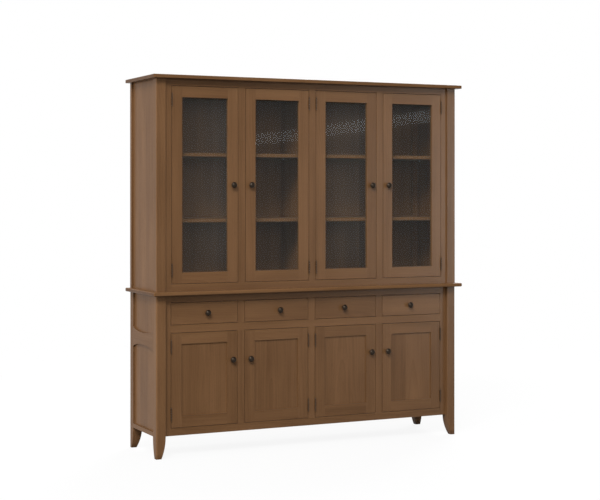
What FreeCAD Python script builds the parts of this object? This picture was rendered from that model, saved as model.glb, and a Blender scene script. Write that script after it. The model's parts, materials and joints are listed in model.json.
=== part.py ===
import FreeCAD, Part
import math
import os

from FreeCAD import Vector

# Dresser with a hutch: a base with four drawers over four panelled doors, a counter,
# and a hutch with four glazed doors. Millimetres, X to the right, Y to the back, Z up.
# The origin is on the floor, at the centre of the whole piece.

# Case
case_width = 1780.0               # across the outer faces of the corner posts
case_depth = 412.0                # front faces to back faces of the posts
leg_clearance = 111.0             # floor to the underside of the case
base_height = 833.0               # floor to the underside of the counter
hutch_height = 1092.0             # counter to the underside of the hutch top
bay_count = 4                     # doors across the front

# Slabs
counter_thickness = 19.0
counter_overhang_front = 36.0     # past the front faces of the posts
counter_overhang_side = 25.0
counter_edge_radius = 5.0
top_thickness = 18.0
top_overhang_front = 32.0
top_overhang_side = 25.0
top_edge_radius = 2.5
largest_edge_share = 0.45         # of a slab's thickness that its edge radius may take

# Posts
post_size = 51.0
hutch_rear_post = 28.0            # depth of the hutch's rear posts, which are flat boards
foot_toe = 28.0                   # width of the foot where it meets the floor

# Face frames
frame_thickness = 22.0
base_setback = 20.0               # frame face behind the front of the posts
hutch_setback = 10.0
end_stile = 35.0
mullion = 40.0
base_bottom_rail = 39.0
base_middle_rail = 40.0
base_top_rail = 38.0
drawer_opening = 116.0
hutch_bottom_rail = 38.0
hutch_top_rail = 35.0

# Sides and back
side_recess = 10.0                # panel behind the outer faces of the posts
side_panel_thickness = 10.0
side_bottom_rail = 22.0
panel_tongue = 8.0                # how far side and back panels enter the posts
arch_rail_level = 597.0           # floor to the middle of the arched rail
arch_rail_height = 63.0           # its height at mid-span
arch_rise = 25.0                  # how much each curved edge rises towards the posts
back_recess = 6.0
back_panel_thickness = 6.0

# Boards inside
partition_thickness = 18.0
floor_thickness = 18.0
shelf_thickness = 18.0
shelf_clearance = 1.5
base_shelf_level = 232.0          # base floor to the underside of the shelf
base_shelf_setback = 40.0         # shelf front behind the back of the face frame
lower_hutch_shelf_level = 315.0   # hutch floor to the underside of the shelf
upper_hutch_shelf_level = 658.0
hutch_shelf_setback = 28.0
shelf_pin_radius = 2.5
shelf_pin_depth = 7.0             # inside the wall
shelf_pin_reach = 10.0            # out of the wall, under the shelf
shelf_pin_inset = 32.0

# Doors
door_gap = 2.0
door_thickness = 20.0
door_stile = 57.0
door_rail = 57.0
glass_lip = 9.0                   # wood in front of the glass
glass_thickness = 4.0
rabbet_width = 9.0
glass_clearance = 1.0
door_panel_setback = 7.0
door_panel_thickness = 7.0
door_groove = 9.0
door_panel_clearance = 1.0

# Butt hinges
hinge_height = 64.0
hinge_inset = 37.0                # door end to hinge end
barrel_radius = 3.6
barrel_gap = 0.4                  # barrel to the door's face
hinge_pin_radius = 1.5
hinge_pin_clearance = 0.05
hinge_pin_tip = 2.5               # pin past each end of the barrel
knuckle_count = 5
knuckle_gap = 0.3
leaf_thickness = 2.0
leaf_depth = 17.0
leaf_gap = 0.4

# Knobs
knob_radius = 16.0
knob_projection = 28.0
knob_rim = 18.0                   # widest ring, from the wood
knob_neck_radius = 5.5
knob_base_radius = 8.0
knob_base_thickness = 2.5
lower_knob_drop = 152.0           # door opening's top to the knob's centre
drawer_knob_shift = 14.0          # from the middle of the drawer towards the middle of the case

# Catches
catch_reach = 14.0                # behind the door's edge
catch_depth = 14.0
catch_height = 40.0
catch_drop = 24.0                 # below the top of the door opening
catch_gap = 0.3
catch_pad_inset = 2.0

# Drawers
drawer_gap = 2.0                  # round the front
drawer_front_thickness = 20.0
drawer_side_thickness = 12.0
drawer_clearance = 3.0            # box to the edge of the opening
drawer_lift = 1.5                 # box above the middle rail
drawer_top_clearance = 16.0
drawer_back_gap = 10.0
drawer_bottom_thickness = 6.0
drawer_bottom_rise = 8.0
drawer_bottom_groove = 6.0
runner_thickness = 18.0
runner_ledge = 14.0               # under the box
runner_gap = 0.3
guide_height = 30.0
guide_gap = 0.5

# Levels above the floor
case_bottom = leg_clearance
counter_bottom = base_height
counter_top = counter_bottom + counter_thickness
hutch_ceiling = counter_top + hutch_height
overall_height = hutch_ceiling + top_thickness
door_low = case_bottom + base_bottom_rail
drawer_high = counter_bottom - base_top_rail
drawer_low = drawer_high - drawer_opening
door_high = drawer_low - base_middle_rail
hutch_low = counter_top + hutch_bottom_rail
hutch_high = hutch_ceiling - hutch_top_rail
hutch_shelf_undersides = [hutch_low + lower_hutch_shelf_level, hutch_low + upper_hutch_shelf_level]

# Planes from left to right
half_width = case_width / 2
post_inner = half_width - post_size
frame_inner = post_inner - end_stile
panel_outer = half_width - side_recess
side_inner = panel_outer - side_panel_thickness
opening_width = (2 * frame_inner - (bay_count - 1) * mullion) / bay_count

# Planes from front to back, with the deepest slab centred on the origin
back = (case_depth + max(counter_overhang_front, top_overhang_front)) / 2
post_front = back - case_depth
front_post_back = post_front + post_size
rear_post_front = back - post_size
hutch_rear_front = back - hutch_rear_post
base_face = post_front + base_setback
base_frame_back = base_face + frame_thickness
hutch_face = post_front + hutch_setback
hutch_frame_back = hutch_face + frame_thickness
back_panel_front = back - back_recess - back_panel_thickness

# Hinge axis, in front of the door's face and in the middle of the gap beside it
barrel_standoff = barrel_radius + barrel_gap


def bay_span(bay):
    """Left and right edges of the opening of a bay."""
    left = -frame_inner + bay * (opening_width + mullion)
    return left, left + opening_width


def mullion_centre(index):
    """Middle of the mullion to the right of a bay."""
    return bay_span(index)[1] + mullion / 2


base_partition_centres = [mullion_centre(index) for index in range(bay_count - 1)]
hutch_partition_centres = base_partition_centres[1::2]


def compartments(centres):
    """Left and right wall faces of each space between the side panels and the partitions."""
    faces = [-side_inner]
    for centre in centres:
        faces += [centre - partition_thickness / 2, centre + partition_thickness / 2]
    faces.append(side_inner)
    return list(zip(faces[0::2], faces[1::2]))


def hinged_on_left(bay):
    """Doors open in pairs: the knobs of a pair are side by side."""
    return bay % 2 == 0


def board(x_span, y_span, z_span):
    """Square-edged board between two planes in each direction."""
    lengths = [high - low for low, high in (x_span, y_span, z_span)]
    return Part.makeBox(*lengths, Vector(x_span[0], y_span[0], z_span[0]))


def flipped(shape):
    """The same piece on the other side of the case."""
    return shape.mirror(Vector(0, 0, 0), Vector(1, 0, 0))


def both_sides(shape):
    return [shape, flipped(shape)]


def four_corners(front_left):
    """A corner piece at the front left, and its three mirror images."""
    middle = Vector(0, (post_front + back) / 2, 0)
    rear_left = front_left.mirror(middle, Vector(0, 1, 0))
    return both_sides(front_left) + both_sides(rear_left)


def cut_all(shapes, tools):
    """Each shape with the same pockets cut into it."""
    pockets = Part.makeCompound(tools)
    return [shape.cut(pockets) for shape in shapes]


def save(node, solids):
    Part.makeCompound(solids).exportStep("parts/" + node + ".step")


def eased_slab(overhang_front, overhang_side, z_span, radius):
    """Slab with its front, side and corner edges rounded and its back edge left square."""
    half = half_width + overhang_side
    slab = board((-half, half), (post_front - overhang_front, back), z_span)
    radius = min(radius, largest_edge_share * (z_span[1] - z_span[0]))
    edges = [edge for edge in slab.Edges if edge.CenterOfMass.y < back - radius]
    return slab.makeFillet(radius, edges)


def leg():
    """Base post at the front left, straight on its outer faces, curved in to the toe on its inner faces."""
    inset = post_size - foot_toe
    radius = (leg_clearance ** 2 + inset ** 2) / (2 * inset)
    half_turn = math.asin(leg_clearance / radius) / 2
    bend = post_size - radius * (1 - math.cos(half_turn))
    bend_level = leg_clearance - radius * math.sin(half_turn)

    def outline(point):
        edges = [
            Part.LineSegment(point(0, 0), point(0, base_height)),
            Part.LineSegment(point(0, base_height), point(post_size, base_height)),
            Part.LineSegment(point(post_size, base_height), point(post_size, leg_clearance)),
            Part.Arc(point(post_size, leg_clearance), point(bend, bend_level), point(foot_toe, 0)),
            Part.LineSegment(point(foot_toe, 0), point(0, 0)),
        ]
        return Part.Face(Part.Wire([edge.toShape() for edge in edges]))

    seen_from_front = outline(lambda reach, level: Vector(reach, 0, level))
    seen_from_side = outline(lambda reach, level: Vector(0, reach, level))
    post = seen_from_front.extrude(Vector(0, post_size, 0))
    post = post.common(seen_from_side.extrude(Vector(post_size, 0, 0)))
    return post.translated(Vector(-half_width, post_front, 0))


def arched_rail():
    """Left side's middle rail: both long edges are half ellipses that rise towards the posts."""
    middle = (front_post_back + rear_post_front) / 2
    half_span = (rear_post_front - front_post_back) / 2
    half_end = arch_rail_height / 2 + arch_rise
    high = arch_rail_level + half_end
    low = arch_rail_level - half_end
    rail = board((-half_width, -panel_outer), (front_post_back, rear_post_front), (low, high))
    for level in (low, high):
        centre = Vector(-half_width, middle, level)
        long_end = centre + Vector(0, half_span, 0)
        short_end = centre + Vector(0, 0, arch_rise)
        curve = Part.Ellipse(long_end, short_end, centre)
        scoop = Part.Face(Part.Wire(curve.toShape())).extrude(Vector(side_recess, 0, 0))
        rail = rail.cut(scoop)
    return rail


def post_blocks(rear_front, clearance=0.0):
    """Where the four posts stand, for the notches of the boards between them."""
    x_span = (-half_width, -post_inner + clearance)
    z_span = (0, overall_height)
    front_post = board(x_span, (post_front, front_post_back + clearance), z_span)
    rear_post = board(x_span, (rear_front - clearance, back), z_span)
    return both_sides(front_post) + both_sides(rear_post)


def side_panel(z_span, rear_front):
    """Left side panel, with a tongue in each post."""
    y_span = (front_post_back - panel_tongue, rear_front + panel_tongue)
    return board((-panel_outer, -side_inner), y_span, z_span)


def back_panel(z_span):
    reach = post_inner + panel_tongue
    return board((-reach, reach), (back_panel_front, back_panel_front + back_panel_thickness), z_span)


def frame_boards(face, low, high, rails, mullion_spans):
    """Face frame between the posts: end stiles, rails between them, and mullions between the rails."""
    y_span = (face, face + frame_thickness)
    boards = both_sides(board((-post_inner, -frame_inner), y_span, (low, high)))
    boards += [board((-frame_inner, frame_inner), y_span, rail) for rail in rails]
    for z_span in mullion_spans:
        for index in range(bay_count - 1):
            left = bay_span(index)[1]
            boards.append(board((left, left + mullion), y_span, z_span))
    return boards


def hinge_leaf(side, first_knuckle, bore_radius):
    """One leaf with its knuckles. The axis is the local Z, the case lies to the back.

    side is -1 for the leaf on the frame and 1 for the leaf on a door that opens from its left edge.
    """
    near = side * leaf_gap / 2
    far = side * (leaf_gap / 2 + leaf_thickness)
    x_span = (min(near, far), max(near, far))
    half = hinge_height / 2
    plate = board(x_span, (barrel_standoff, barrel_standoff + leaf_depth), (-half, half))
    leaf = plate
    pitch = hinge_height / knuckle_count
    for index in range(first_knuckle, knuckle_count, 2):
        low = -half + index * pitch + knuckle_gap / 2
        z_span = (low, low + pitch - knuckle_gap)
        tongue = board(x_span, (0, barrel_standoff), z_span)
        barrel = Part.makeCylinder(barrel_radius, pitch - knuckle_gap, Vector(0, 0, low))
        leaf = leaf.fuse(tongue).fuse(barrel)
    bore = Part.makeCylinder(bore_radius, hinge_height, Vector(0, 0, -half))
    return leaf.cut(bore).removeSplitter(), plate


def hinge_pin():
    length = hinge_height + 2 * hinge_pin_tip
    return Part.makeCylinder(hinge_pin_radius, length, Vector(0, 0, -length / 2))


frame_leaf, frame_plate = hinge_leaf(-1, 0, hinge_pin_radius)
door_leaf, door_plate = hinge_leaf(1, 1, hinge_pin_radius + hinge_pin_clearance)


def hinge_axis(bay, face):
    """X and Y of the upright axis that a door turns on."""
    left, right = bay_span(bay)
    x = left + door_gap / 2 if hinged_on_left(bay) else right - door_gap / 2
    return x, face - barrel_standoff


def at_hinges(shape, bay, face, low, high):
    """Copies of a hinge piece at both hinges of a door."""
    x, y = hinge_axis(bay, face)
    handed = shape if hinged_on_left(bay) else flipped(shape)
    offset = door_gap + hinge_inset + hinge_height / 2
    return [handed.translated(Vector(x, y, level)) for level in (low + offset, high - offset)]


def knob():
    """Mushroom knob on the local origin, pointing forward: a base ring, a neck, a cove and a domed head."""
    cove = knob_radius - knob_neck_radius
    cove_start = knob_rim - cove
    diagonal = cove * math.sin(math.pi / 4)
    crown = knob_projection - knob_rim
    dome_radius = (knob_radius ** 2 + crown ** 2) / (2 * crown)
    half_turn = math.asin(knob_radius / dome_radius) / 2
    dome_centre = knob_projection - dome_radius

    def point(radius, reach):
        return Vector(radius, -reach, 0)

    cove_middle = point(knob_radius - diagonal, cove_start + diagonal)
    dome_middle = point(dome_radius * math.sin(half_turn), dome_centre + dome_radius * math.cos(half_turn))
    edges = [
        Part.LineSegment(point(0, 0), point(knob_base_radius, 0)),
        Part.LineSegment(point(knob_base_radius, 0), point(knob_base_radius, knob_base_thickness)),
        Part.LineSegment(point(knob_base_radius, knob_base_thickness),
                         point(knob_neck_radius, knob_base_thickness)),
        Part.LineSegment(point(knob_neck_radius, knob_base_thickness), point(knob_neck_radius, cove_start)),
        Part.Arc(point(knob_neck_radius, cove_start), cove_middle, point(knob_radius, knob_rim)),
        Part.Arc(point(knob_radius, knob_rim), dome_middle, point(0, knob_projection)),
        Part.LineSegment(point(0, knob_projection), point(0, 0)),
    ]
    outline = Part.Face(Part.Wire([edge.toShape() for edge in edges]))
    return outline.revolve(Vector(0, 0, 0), Vector(0, 1, 0), 360)


def grown(span, amount):
    return span[0] - amount, span[1] + amount


def door_outside(bay, low, high):
    """Width and height of a door in its opening."""
    return grown(bay_span(bay), -door_gap), grown((low, high), -door_gap)


def door_inside(bay, low, high):
    """Width and height of the space inside a door's stiles and rails."""
    outer_x, outer_z = door_outside(bay, low, high)
    return grown(outer_x, -door_stile), grown(outer_z, -door_rail)


def door_boards(bay, face, low, high):
    """Two stiles the full height of the door, and two rails between them."""
    outer_x, outer_z = door_outside(bay, low, high)
    inner_x, inner_z = door_inside(bay, low, high)
    y_span = (face, face + door_thickness)
    stiles = [board(span, y_span, outer_z)
              for span in ((outer_x[0], inner_x[0]), (inner_x[1], outer_x[1]))]
    rails = [board(inner_x, y_span, span)
             for span in ((outer_z[0], inner_z[0]), (inner_z[1], outer_z[1]))]
    return stiles + rails


def knob_place(bay, face, level):
    """Middle of the stile at the free edge of a door."""
    left, right = bay_span(bay)
    inset = door_gap + door_stile / 2
    x = right - inset if hinged_on_left(bay) else left + inset
    return Vector(x, face, level)


def save_door_hardware(name, bay, face, low, high, knob_level):
    save(name + "_hinge_leaves", at_hinges(door_leaf, bay, face, low, high))
    save(name + "_knob", [knob().translated(knob_place(bay, face, knob_level))])


def save_upper_door(bay):
    """Glazed door: the pane lies in a rabbet and is held from the back by four beads."""
    name = "upper_door_%d" % (bay + 1)
    low, high = hutch_low, hutch_high
    inner_x, inner_z = door_inside(bay, low, high)
    glass_front = hutch_face + glass_lip
    glass_back = glass_front + glass_thickness
    door_back = hutch_face + door_thickness
    rabbet_x = grown(inner_x, rabbet_width)
    rabbet_z = grown(inner_z, rabbet_width)
    pockets = [board(rabbet_x, (glass_front, door_back), rabbet_z)]
    pockets += at_hinges(door_plate, bay, hutch_face, low, high)
    boards = cut_all(door_boards(bay, hutch_face, low, high), pockets)
    bead_y = (glass_back, door_back)
    beads = [board(span, bead_y, rabbet_z)
             for span in ((rabbet_x[0], inner_x[0]), (inner_x[1], rabbet_x[1]))]
    beads += [board(inner_x, bead_y, span)
              for span in ((rabbet_z[0], inner_z[0]), (inner_z[1], rabbet_z[1]))]
    save(name + "_frame", boards + beads)
    pane_x = grown(rabbet_x, -glass_clearance)
    pane_z = grown(rabbet_z, -glass_clearance)
    save(name + "_glass", [board(pane_x, (glass_front, glass_back), pane_z)])
    save_door_hardware(name, bay, hutch_face, low, high, (low + high) / 2)


def save_lower_door(bay):
    """Panelled door: a flat panel in a groove round the inside of the frame."""
    name = "lower_door_%d" % (bay + 1)
    low, high = door_low, door_high
    inner_x, inner_z = door_inside(bay, low, high)
    panel_front = base_face + door_panel_setback
    panel_y = (panel_front, panel_front + door_panel_thickness)
    pockets = [board(grown(inner_x, door_groove), panel_y, grown(inner_z, door_groove))]
    pockets += at_hinges(door_plate, bay, base_face, low, high)
    boards = cut_all(door_boards(bay, base_face, low, high), pockets)
    tongue = door_groove - door_panel_clearance
    panel = board(grown(inner_x, tongue), panel_y, grown(inner_z, tongue))
    save(name + "_frame_and_panel", boards + [panel])
    save_door_hardware(name, bay, base_face, low, high, high - lower_knob_drop)


def save_drawer(bay):
    """Inset front, and a box whose bottom lies in grooves and runs under the back."""
    name = "drawer_%d" % (bay + 1)
    opening = bay_span(bay)
    front_back = base_face + drawer_front_thickness
    box_back = back_panel_front - drawer_back_gap
    box_low = drawer_low + drawer_lift
    box_high = drawer_high - drawer_top_clearance
    box_x = grown(opening, -drawer_clearance)
    inside_x = grown(box_x, -drawer_side_thickness)
    bottom_low = box_low + drawer_bottom_rise
    bottom_high = bottom_low + drawer_bottom_thickness
    bottom_y = (front_back - drawer_bottom_groove, box_back)
    bottom = board(grown(inside_x, drawer_bottom_groove), bottom_y, (bottom_low, bottom_high))
    front = board(grown(opening, -drawer_gap), (base_face, front_back),
                  grown((drawer_low, drawer_high), -drawer_gap))
    sides = [board(span, (front_back, box_back), (box_low, box_high))
             for span in ((box_x[0], inside_x[0]), (inside_x[1], box_x[1]))]
    back_board = board(inside_x, (box_back - drawer_side_thickness, box_back), (bottom_high, box_high))
    save(name + "_front", cut_all([front], [bottom]))
    save(name + "_box", cut_all(sides, [bottom]) + [back_board, bottom])
    middle = sum(opening) / 2
    knob_x = middle - math.copysign(drawer_knob_shift, middle)
    centre = Vector(knob_x, base_face, (drawer_low + drawer_high) / 2)
    save(name + "_knob", [knob().translated(centre)])


def runner_pair(bay, walls):
    """Ledges that a drawer slides on, and the guides beside it, from the walls of its bay."""
    y_span = (base_frame_back, back_panel_front)
    runner_top = drawer_low + drawer_lift - runner_gap
    ledge_z = (runner_top - runner_thickness, runner_top)
    guide_z = (runner_top, runner_top + guide_height)
    box_left, box_right = grown(bay_span(bay), -drawer_clearance)
    return [
        board((walls[0], box_left + runner_ledge), y_span, ledge_z),
        board((box_right - runner_ledge, walls[1]), y_span, ledge_z),
        board((walls[0], box_left - guide_gap), y_span, guide_z),
        board((box_right + guide_gap, walls[1]), y_span, guide_z),
    ]


def shelf_in(walls, front, underside, rear_front):
    """Loose shelf between two walls, notched round any post in its way."""
    shelf = board(grown(walls, -shelf_clearance), (front, back_panel_front - shelf_clearance),
                  (underside, underside + shelf_thickness))
    return cut_all([shelf], post_blocks(rear_front, shelf_clearance))[0]


def pins_under(walls, front, underside, rear_front):
    """Four pins that carry a shelf: two in each wall."""
    level = underside - shelf_pin_radius
    length = shelf_pin_depth + shelf_pin_reach
    left_end, right_end = grown(walls, shelf_pin_depth)
    pins = []
    for y in (front + shelf_pin_inset, rear_front - shelf_pin_inset):
        for x, inward in ((left_end, 1), (right_end, -1)):
            start = Vector(x, y, level)
            pins.append(Part.makeCylinder(shelf_pin_radius, length, start, Vector(inward, 0, 0)))
    return pins


def catch(bay, face, high):
    """Catch on the back of the frame, with a pad behind the free edge of a door."""
    left, right = bay_span(bay)
    frame_back = face + frame_thickness
    seat = (mullion - partition_thickness) / 2
    reach = door_gap + catch_reach
    top = high - catch_drop
    z_span = (top - catch_height, top)
    body = board((-seat, reach), (frame_back, frame_back + catch_depth), z_span)
    pad_y = (face + door_thickness + catch_gap, frame_back)
    pad = board((door_gap + catch_pad_inset, reach), pad_y, z_span)
    unit = body.fuse(pad).removeSplitter()
    if hinged_on_left(bay):
        return flipped(unit).translated(Vector(right, 0, 0))
    return unit.translated(Vector(left, 0, 0))


os.makedirs("parts", exist_ok=True)
bays = range(bay_count)

# Where each door is: bay, face, bottom and top of its opening
hutch_doors = [(bay, hutch_face, hutch_low, hutch_high) for bay in bays]
base_doors = [(bay, base_face, door_low, door_high) for bay in bays]
frame_mortises = [plate for door in hutch_doors + base_doors for plate in at_hinges(frame_plate, *door)]

# Shelves, and the pins that carry them
base_spaces = compartments(base_partition_centres)
hutch_spaces = compartments(hutch_partition_centres)
shelf_places = [(walls, base_frame_back + base_shelf_setback, door_low + base_shelf_level, rear_post_front)
                for walls in base_spaces]
base_shelf_count = len(shelf_places)
shelf_places += [(walls, hutch_frame_back + hutch_shelf_setback, underside, hutch_rear_front)
                 for underside in hutch_shelf_undersides for walls in hutch_spaces]
shelves = [shelf_in(*place) for place in shelf_places]
pins = [pin for place in shelf_places for pin in pins_under(*place)]
save("base_shelves", shelves[:base_shelf_count])
save("hutch_shelves", shelves[base_shelf_count:])
save("shelf_pins", pins)

# Panels, and the posts grooved for them
base_sides = both_sides(side_panel((case_bottom + side_bottom_rail, counter_bottom), rear_post_front))
base_back = back_panel((case_bottom, counter_bottom))
hutch_sides = both_sides(side_panel((counter_top, hutch_ceiling), hutch_rear_front))
hutch_back = back_panel((counter_top, hutch_ceiling))
save("base_posts", cut_all(four_corners(leg()), base_sides + [base_back]))
hutch_posts = []
for y_span in ((post_front, front_post_back), (hutch_rear_front, back)):
    hutch_posts += both_sides(board((-half_width, -post_inner), y_span, (counter_top, hutch_ceiling)))
save("hutch_posts", cut_all(hutch_posts, hutch_sides + [hutch_back]))
save("base_side_panels", cut_all(base_sides, pins))
save("hutch_side_panels", cut_all(hutch_sides, pins))
save("base_back_panel", [base_back])
save("hutch_back_panel", [hutch_back])

# Side rails
bottom_side_rail = board((-half_width, -side_inner), (front_post_back, rear_post_front),
                         (case_bottom, case_bottom + side_bottom_rail))
save("base_side_rails", both_sides(arched_rail()) + both_sides(bottom_side_rail))

# Face frames, with shallow mortises for the hinge leaves
base_rails = [(case_bottom, door_low), (door_high, drawer_low), (drawer_high, counter_bottom)]
base_frame = frame_boards(base_face, case_bottom, counter_bottom, base_rails,
                          [(door_low, door_high), (drawer_low, drawer_high)])
hutch_rails = [(counter_top, hutch_low), (hutch_high, hutch_ceiling)]
hutch_frame = frame_boards(hutch_face, counter_top, hutch_ceiling, hutch_rails, [(hutch_low, hutch_high)])
save("base_face_frame", cut_all(base_frame, frame_mortises))
save("hutch_face_frame", cut_all(hutch_frame, frame_mortises))

# Floors, notched round the posts, and partitions
base_floor = board((-side_inner, side_inner), (base_frame_back, back_panel_front),
                   (door_low - floor_thickness, door_low))
hutch_floor = board((-side_inner, side_inner), (hutch_frame_back, back_panel_front),
                    (hutch_low - floor_thickness, hutch_low))
save("base_floor", cut_all([base_floor], post_blocks(rear_post_front)))
save("hutch_floor", cut_all([hutch_floor], post_blocks(hutch_rear_front)))
partitions = [board((centre - partition_thickness / 2, centre + partition_thickness / 2),
                    (base_frame_back, back_panel_front), (door_low, counter_bottom))
              for centre in base_partition_centres]
partitions += [board((centre - partition_thickness / 2, centre + partition_thickness / 2),
                     (hutch_frame_back, back_panel_front), (hutch_low, hutch_ceiling))
               for centre in hutch_partition_centres]
save("case_partitions", cut_all(partitions, pins))

# Drawer runners
runners = [piece for bay in bays for piece in runner_pair(bay, base_spaces[bay])]
save("drawer_runners", cut_all(runners, post_blocks(rear_post_front)))

# Slabs
save("base_counter", [eased_slab(counter_overhang_front, counter_overhang_side,
                                 (counter_bottom, counter_top), counter_edge_radius)])
save("hutch_top", [eased_slab(top_overhang_front, top_overhang_side,
                              (hutch_ceiling, overall_height), top_edge_radius)])

# Fixed halves of the hinges, with their pins, and the catches
fixed_hinges = []
for door in hutch_doors + base_doors:
    fixed_hinges += at_hinges(frame_leaf, *door) + at_hinges(hinge_pin(), *door)
save("hinge_frame_leaves", fixed_hinges)
save("door_catches", [catch(bay, face, high) for bay, face, _, high in hutch_doors + base_doors])

# What opens
for bay in bays:
    save_upper_door(bay)
    save_lower_door(bay)
    save_drawer(bay)
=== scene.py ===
# %% [markdown]
# # A dresser with a hutch, in brown stained wood
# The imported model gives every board, pane, hinge and knob at its real size. This lesson keeps that frame
# as it is and dresses it: each board gets eased edges and its own grain, the metal gets its patina, and
# the small screws are added. Everything is in metres, with the doors facing -Y and Z up.

# %% Load the frame
import json
import math
import random

import bmesh
import bpy
import numpy as np
from mathutils import Matrix, Vector


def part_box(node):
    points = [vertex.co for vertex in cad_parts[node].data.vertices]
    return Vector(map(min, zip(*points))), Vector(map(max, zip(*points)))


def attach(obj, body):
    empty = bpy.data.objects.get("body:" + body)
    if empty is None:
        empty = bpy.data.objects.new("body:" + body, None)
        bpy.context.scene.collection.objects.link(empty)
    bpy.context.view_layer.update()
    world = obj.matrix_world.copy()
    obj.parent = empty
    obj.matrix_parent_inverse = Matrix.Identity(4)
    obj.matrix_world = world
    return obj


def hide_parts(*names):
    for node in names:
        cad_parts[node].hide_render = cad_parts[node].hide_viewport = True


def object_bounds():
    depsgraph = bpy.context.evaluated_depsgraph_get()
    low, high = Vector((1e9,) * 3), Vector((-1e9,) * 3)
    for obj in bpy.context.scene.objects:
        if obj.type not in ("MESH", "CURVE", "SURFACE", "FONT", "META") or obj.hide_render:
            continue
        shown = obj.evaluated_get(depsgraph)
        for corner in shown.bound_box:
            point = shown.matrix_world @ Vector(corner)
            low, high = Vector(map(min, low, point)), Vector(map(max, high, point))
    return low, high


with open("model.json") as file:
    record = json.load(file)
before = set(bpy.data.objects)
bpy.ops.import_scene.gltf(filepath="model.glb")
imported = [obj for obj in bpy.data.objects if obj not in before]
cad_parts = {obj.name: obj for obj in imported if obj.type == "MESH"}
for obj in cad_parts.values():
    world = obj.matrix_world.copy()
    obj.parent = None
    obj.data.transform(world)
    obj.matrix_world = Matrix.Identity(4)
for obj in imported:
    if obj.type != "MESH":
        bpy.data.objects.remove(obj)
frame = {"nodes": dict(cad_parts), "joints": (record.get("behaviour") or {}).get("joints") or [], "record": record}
cad_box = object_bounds()
scene = bpy.context.scene
MM = 0.001
subparts = {row["node"]: row["material_slot"] for row in frame["record"]["subparts"]}
bodies = frame["record"]["behaviour"]["bodies"]
body_of = {node: body for body, nodes in bodies.items() for node in nodes}
print("pieces in the frame:", len(subparts), "bodies:", len(bodies))

# %% [markdown]
# ## Camera
# The photograph was taken from the left with a camera that was nearly level, so its upright edges are
# parallel. Tilting a camera down would make the posts lean. A level camera with a small downward lens
# shift frames the object without that, as an architect's lens does.

# %% Place the camera
PHOTO_WIDTH, PHOTO_HEIGHT = 600, 500
FOCAL_PIXELS = 1416.5
HORIZON_ROW = 193.9
camera_place = Vector((-3.357, -6.999, 1.353))
camera_turn = 0.4486              # radians to the right of straight ahead


def add_object(name, data):
    """A new object in the scene."""
    thing = bpy.data.objects.new(name, data)
    scene.collection.objects.link(thing)
    return thing


camera_data = bpy.data.cameras.new("photo_camera")
camera = add_object("photo_camera", camera_data)
scene.camera = camera
camera.location = camera_place
camera.rotation_euler = (math.pi / 2, 0, -camera_turn)
camera_data.lens = camera_data.sensor_width * FOCAL_PIXELS / PHOTO_WIDTH
camera_data.shift_y = (HORIZON_ROW - PHOTO_HEIGHT / 2) / PHOTO_WIDTH
scene.view_settings.view_transform = "Standard"
print("lens", round(camera_data.lens, 1), "mm, shift", round(camera_data.shift_y, 3))

# %% [markdown]
# ## Building node trees
# Materials, the world and the screw maker are all node trees. One short helper adds a node, sets its
# options and fills its inputs: an input that is given a socket is linked, any other value is typed in.

# %% Helpers for node trees
def put(tree, kind, inputs=None, **options):
    """A new node, by its kind, with its inputs and options set."""
    node = tree.nodes.new(kind)
    for name, value in options.items():
        setattr(node, name, value)
    for key, value in (inputs or {}).items():
        if isinstance(value, bpy.types.NodeSocket):
            tree.links.new(value, node.inputs[key])
        else:
            node.inputs[key].default_value = value
    return node


def calc(tree, operation, *values, clamp=False):
    """What one Math node works out."""
    node = put(tree, "ShaderNodeMath", dict(enumerate(values)), operation=operation, use_clamp=clamp)
    return node.outputs[0]


def tint(tree, factor, first, second, mode="MIX"):
    """Colour mix. Its factor is input 0, and its two colours are inputs 6 and 7."""
    node = put(tree, "ShaderNodeMix", {0: factor, 6: first, 7: second}, data_type="RGBA", blend_type=mode)
    return node.outputs[2]


def seen_directly(tree):
    """1 for rays from the camera, off a shiny surface or through glass, and 0 after a matt surface."""
    path = put(tree, "ShaderNodeLightPath").outputs
    either = calc(tree, "MAXIMUM", path["Is Camera Ray"], path["Is Glossy Ray"])
    direct = calc(tree, "MAXIMUM", either, path["Is Transmission Ray"])
    return calc(tree, "MULTIPLY", direct, calc(tree, "LESS_THAN", path["Diffuse Depth"], 0.5))


# %% [markdown]
# ## Studio
# The object stands in a plain white studio. A white room would also throw a lot of light on the wood and
# wash it out. A world can tell the rays that come straight from the camera from those that have met a
# matt surface, so the surround is white to look at, and the light that it gives is set apart.

# %% World
AMBIENT = 0.24
WHITE = (1, 1, 1, 1)

world = bpy.data.worlds.new("studio")
world.use_nodes = True
scene.world = world
sky = world.node_tree
sky.nodes.clear()
light = put(sky, "ShaderNodeBackground", {"Color": WHITE, "Strength": AMBIENT}).outputs[0]
shown = put(sky, "ShaderNodeBackground", {"Color": WHITE, "Strength": 1.0}).outputs[0]
surround = put(sky, "ShaderNodeMixShader", {0: seen_directly(sky), 1: light, 2: shown})
put(sky, "ShaderNodeOutputWorld", {"Surface": surround.outputs[0]})
print("ambient light", AMBIENT)

# %% [markdown]
# ## Lamps
# Most of the light comes from one softbox, high and a little to the left. It is wider than it is tall:
# so the slabs keep a clear dark band under their front edges, while a post throws only a soft shade on
# the frame beside it. A lower lamp fills in under the slabs and behind the panes, a third lights the
# left side, and one stands behind on the right, for the sides that the photograph doesn't show. The low
# side lamp is hidden from reflections, because the slabs would glare in it when they are seen from the
# other side.

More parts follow.
